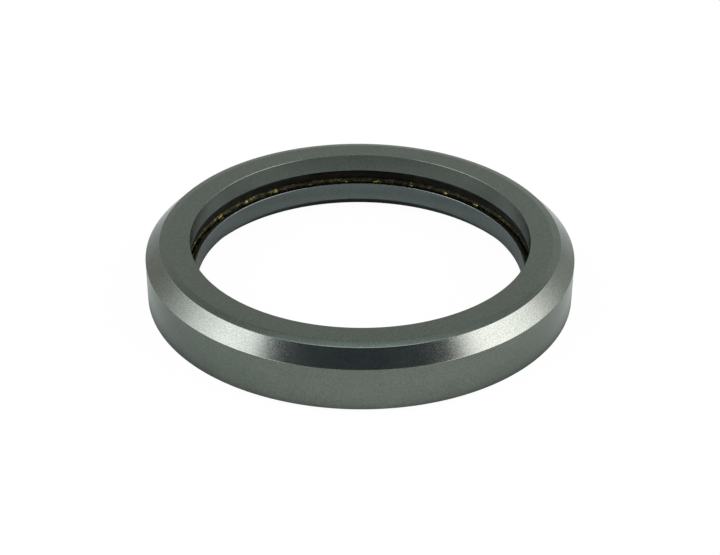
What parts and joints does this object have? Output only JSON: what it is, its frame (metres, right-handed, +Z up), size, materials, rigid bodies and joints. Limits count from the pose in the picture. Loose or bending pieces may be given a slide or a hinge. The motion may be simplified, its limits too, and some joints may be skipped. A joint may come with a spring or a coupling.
{
  "type": "headset bearing",
  "caption": "Slim ring-shaped ball bearing with an angled seat chamfer above and another below, whose outer ring turns on caged balls around the inner ring to let a bicycle fork steer.",
  "frame": {"origin": "on the bearing's axis, in the plane of the inner ring's bottom face", "axes": "+Z up the bearing's axis, from the inner ring's seat chamfer to the outer ring's seat chamfer"},
  "size_m": [0.052, 0.052, 0.0075],
  "materials": {
    "ring_steel": "ground satin",
    "ball_steel": "polished, greased",
    "cage_nylon": "moulded, greased",
    "seal_rubber": "satin moulded"
  },
  "bodies": {
    "inner_ring_body": {"inner_ring": "ring_steel"},
    "outer_ring_body": {"outer_ring": "ring_steel", "lower_seal": "seal_rubber"},
    "cage_body": {"cage": "cage_nylon"},
    "ball_01_body": {"ball_01": "ball_steel"},
    "ball_02_body": {"ball_02": "ball_steel"},
    "ball_03_body": {"ball_03": "ball_steel"},
    "ball_04_body": {"ball_04": "ball_steel"},
    "ball_05_body": {"ball_05": "ball_steel"},
    "ball_06_body": {"ball_06": "ball_steel"},
    "ball_07_body": {"ball_07": "ball_steel"},
    "ball_08_body": {"ball_08": "ball_steel"},
    "ball_09_body": {"ball_09": "ball_steel"},
    "ball_10_body": {"ball_10": "ball_steel"},
    "ball_11_body": {"ball_11": "ball_steel"},
    "ball_12_body": {"ball_12": "ball_steel"},
    "ball_13_body": {"ball_13": "ball_steel"},
    "ball_14_body": {"ball_14": "ball_steel"},
    "ball_15_body": {"ball_15": "ball_steel"},
    "ball_16_body": {"ball_16": "ball_steel"},
    "ball_17_body": {"ball_17": "ball_steel"},
    "ball_18_body": {"ball_18": "ball_steel"},
    "ball_19_body": {"ball_19": "ball_steel"},
    "ball_20_body": {"ball_20": "ball_steel"},
    "ball_21_body": {"ball_21": "ball_steel"},
    "ball_22_body": {"ball_22": "ball_steel"},
    "ball_23_body": {"ball_23": "ball_steel"},
    "ball_24_body": {"ball_24": "ball_steel"},
    "ball_25_body": {"ball_25": "ball_steel"},
    "ball_26_body": {"ball_26": "ball_steel"},
    "ball_27_body": {"ball_27": "ball_steel"},
    "ball_28_body": {"ball_28": "ball_steel"}
  },
  "joints": [
    {"name": "outer_ring_spin", "type": "hinge", "parent": "inner_ring_body", "child": "outer_ring_body", "pos_m": [0, 0, 0.0025], "axis": [0, 0, 1], "continuous": true},
    {"name": "cage_spin", "type": "hinge", "parent": "inner_ring_body", "child": "cage_body", "pos_m": [0, 0, 0.0025], "axis": [0, 0, 1], "continuous": true},
    {"name": "ball_01_spin", "type": "hinge", "parent": "cage_body", "child": "ball_01_body", "pos_m": [0.02226, 0.0025, 0.0027], "axis": [-0.7027, -0.0788, 0.7071], "continuous": true},
    {"name": "ball_02_spin", "type": "hinge", "parent": "cage_body", "child": "ball_02_body", "pos_m": [0.02115, 0.00739, 0.0027], "axis": [-0.6675, -0.2332, 0.7071], "continuous": true},
    {"name": "ball_03_spin", "type": "hinge", "parent": "cage_body", "child": "ball_03_body", "pos_m": [0.01897, 0.01191, 0.0027], "axis": [-0.5989, -0.3759, 0.7071], "continuous": true},
    {"name": "ball_04_spin", "type": "hinge", "parent": "cage_body", "child": "ball_04_body", "pos_m": [0.01585, 0.01583, 0.0027], "axis": [-0.5002, -0.4998, 0.7071], "continuous": true},
    {"name": "ball_05_spin", "type": "hinge", "parent": "cage_body", "child": "ball_05_body", "pos_m": [0.01193, 0.01896, 0.0027], "axis": [-0.3765, -0.5985, 0.7071], "continuous": true},
    {"name": "ball_06_spin", "type": "hinge", "parent": "cage_body", "child": "ball_06_body", "pos_m": [0.00741, 0.02114, 0.0027], "axis": [-0.2339, -0.6673, 0.7071], "continuous": true},
    {"name": "ball_07_spin", "type": "hinge", "parent": "cage_body", "child": "ball_07_body", "pos_m": [0.00252, 0.02226, 0.0027], "axis": [-0.0795, -0.7026, 0.7071], "continuous": true},
    {"name": "ball_08_spin", "type": "hinge", "parent": "cage_body", "child": "ball_08_body", "pos_m": [-0.0025, 0.02226, 0.0027], "axis": [0.0788, -0.7027, 0.7071], "continuous": true},
    {"name": "ball_09_spin", "type": "hinge", "parent": "cage_body", "child": "ball_09_body", "pos_m": [-0.00739, 0.02115, 0.0027], "axis": [0.2332, -0.6675, 0.7071], "continuous": true},
    {"name": "ball_10_spin", "type": "hinge", "parent": "cage_body", "child": "ball_10_body", "pos_m": [-0.01191, 0.01897, 0.0027], "axis": [0.3759, -0.5989, 0.7071], "continuous": true},
    {"name": "ball_11_spin", "type": "hinge", "parent": "cage_body", "child": "ball_11_body", "pos_m": [-0.01583, 0.01585, 0.0027], "axis": [0.4998, -0.5002, 0.7071], "continuous": true},
    {"name": "ball_12_spin", "type": "hinge", "parent": "cage_body", "child": "ball_12_body", "pos_m": [-0.01896, 0.01193, 0.0027], "axis": [0.5985, -0.3765, 0.7071], "continuous": true},
    {"name": "ball_13_spin", "type": "hinge", "parent": "cage_body", "child": "ball_13_body", "pos_m": [-0.02114, 0.00741, 0.0027], "axis": [0.6673, -0.2339, 0.7071], "continuous": true},
    {"name": "ball_14_spin", "type": "hinge", "parent": "cage_body", "child": "ball_14_body", "pos_m": [-0.02226, 0.00252, 0.0027], "axis": [0.7026, -0.0795, 0.7071], "continuous": true},
    {"name": "ball_15_spin", "type": "hinge", "parent": "cage_body", "child": "ball_15_body", "pos_m": [-0.02226, -0.0025, 0.0027], "axis": [0.7027, 0.0788, 0.7071], "continuous": true},
    {"name": "ball_16_spin", "type": "hinge", "parent": "cage_body", "child": "ball_16_body", "pos_m": [-0.02115, -0.00739, 0.0027], "axis": [0.6675, 0.2332, 0.7071], "continuous": true},
    {"name": "ball_17_spin", "type": "hinge", "parent": "cage_body", "child": "ball_17_body", "pos_m": [-0.01897, -0.01191, 0.0027], "axis": [0.5989, 0.3759, 0.7071], "continuous": true},
    {"name": "ball_18_spin", "type": "hinge", "parent": "cage_body", "child": "ball_18_body", "pos_m": [-0.01585, -0.01583, 0.0027], "axis": [0.5002, 0.4998, 0.7071], "continuous": true},
    {"name": "ball_19_spin", "type": "hinge", "parent": "cage_body", "child": "ball_19_body", "pos_m": [-0.01193, -0.01896, 0.0027], "axis": [0.3765, 0.5985, 0.7071], "continuous": true},
    {"name": "ball_20_spin", "type": "hinge", "parent": "cage_body", "child": "ball_20_body", "pos_m": [-0.00741, -0.02114, 0.0027], "axis": [0.2339, 0.6673, 0.7071], "continuous": true},
    {"name": "ball_21_spin", "type": "hinge", "parent": "cage_body", "child": "ball_21_body", "pos_m": [-0.00252, -0.02226, 0.0027], "axis": [0.0795, 0.7026, 0.7071], "continuous": true},
    {"name": "ball_22_spin", "type": "hinge", "parent": "cage_body", "child": "ball_22_body", "pos_m": [0.0025, -0.02226, 0.0027], "axis": [-0.0788, 0.7027, 0.7071], "continuous": true},
    {"name": "ball_23_spin", "type": "hinge", "parent": "cage_body", "child": "ball_23_body", "pos_m": [0.00739, -0.02115, 0.0027], "axis": [-0.2332, 0.6675, 0.7071], "continuous": true},
    {"name": "ball_24_spin", "type": "hinge", "parent": "cage_body", "child": "ball_24_body", "pos_m": [0.01191, -0.01897, 0.0027], "axis": [-0.3759, 0.5989, 0.7071], "continuous": true},
    {"name": "ball_25_spin", "type": "hinge", "parent": "cage_body", "child": "ball_25_body", "pos_m": [0.01583, -0.01585, 0.0027], "axis": [-0.4998, 0.5002, 0.7071], "continuous": true},
    {"name": "ball_26_spin", "type": "hinge", "parent": "cage_body", "child": "ball_26_body", "pos_m": [0.01896, -0.01193, 0.0027], "axis": [-0.5985, 0.3765, 0.7071], "continuous": true},
    {"name": "ball_27_spin", "type": "hinge", "parent": "cage_body", "child": "ball_27_body", "pos_m": [0.02114, -0.00741, 0.0027], "axis": [-0.6673, 0.2339, 0.7071], "continuous": true},
    {"name": "ball_28_spin", "type": "hinge", "parent": "cage_body", "child": "ball_28_body", "pos_m": [0.02226, -0.00252, 0.0027], "axis": [-0.7026, 0.0795, 0.7071], "continuous": true}
  ],
  "couplings": [
    {"joint": "cage_spin", "follows": "outer_ring_spin", "ratio": 0.52506},
    {"joint": "ball_01_spin", "follows": "outer_ring_spin", "ratio": 7.0374},
    {"joint": "ball_02_spin", "follows": "outer_ring_spin", "ratio": 7.0374},
    {"joint": "ball_03_spin", "follows": "outer_ring_spin", "ratio": 7.0374},
    {"joint": "ball_04_spin", "follows": "outer_ring_spin", "ratio": 7.0374},
    {"joint": "ball_05_spin", "follows": "outer_ring_spin", "ratio": 7.0374},
    {"joint": "ball_06_spin", "follows": "outer_ring_spin", "ratio": 7.0374},
    {"joint": "ball_07_spin", "follows": "outer_ring_spin", "ratio": 7.0374},
    {"joint": "ball_08_spin", "follows": "outer_ring_spin", "ratio": 7.0374},
    {"joint": "ball_09_spin", "follows": "outer_ring_spin", "ratio": 7.0374},
    {"joint": "ball_10_spin", "follows": "outer_ring_spin", "ratio": 7.0374},
    {"joint": "ball_11_spin", "follows": "outer_ring_spin", "ratio": 7.0374},
    {"joint": "ball_12_spin", "follows": "outer_ring_spin", "ratio": 7.0374},
    {"joint": "ball_13_spin", "follows": "outer_ring_spin", "ratio": 7.0374},
    {"joint": "ball_14_spin", "follows": "outer_ring_spin", "ratio": 7.0374},
    {"joint": "ball_15_spin", "follows": "outer_ring_spin", "ratio": 7.0374},
    {"joint": "ball_16_spin", "follows": "outer_ring_spin", "ratio": 7.0374},
    {"joint": "ball_17_spin", "follows": "outer_ring_spin", "ratio": 7.0374},
    {"joint": "ball_18_spin", "follows": "outer_ring_spin", "ratio": 7.0374},
    {"joint": "ball_19_spin", "follows": "outer_ring_spin", "ratio": 7.0374},
    {"joint": "ball_20_spin", "follows": "outer_ring_spin", "ratio": 7.0374},
    {"joint": "ball_21_spin", "follows": "outer_ring_spin", "ratio": 7.0374},
    {"joint": "ball_22_spin", "follows": "outer_ring_spin", "ratio": 7.0374},
    {"joint": "ball_23_spin", "follows": "outer_ring_spin", "ratio": 7.0374},
    {"joint": "ball_24_spin", "follows": "outer_ring_spin", "ratio": 7.0374},
    {"joint": "ball_25_spin", "follows": "outer_ring_spin", "ratio": 7.0374},
    {"joint": "ball_26_spin", "follows": "outer_ring_spin", "ratio": 7.0374},
    {"joint": "ball_27_spin", "follows": "outer_ring_spin", "ratio": 7.0374},
    {"joint": "ball_28_spin", "follows": "outer_ring_spin", "ratio": 7.0374}
  ]
}
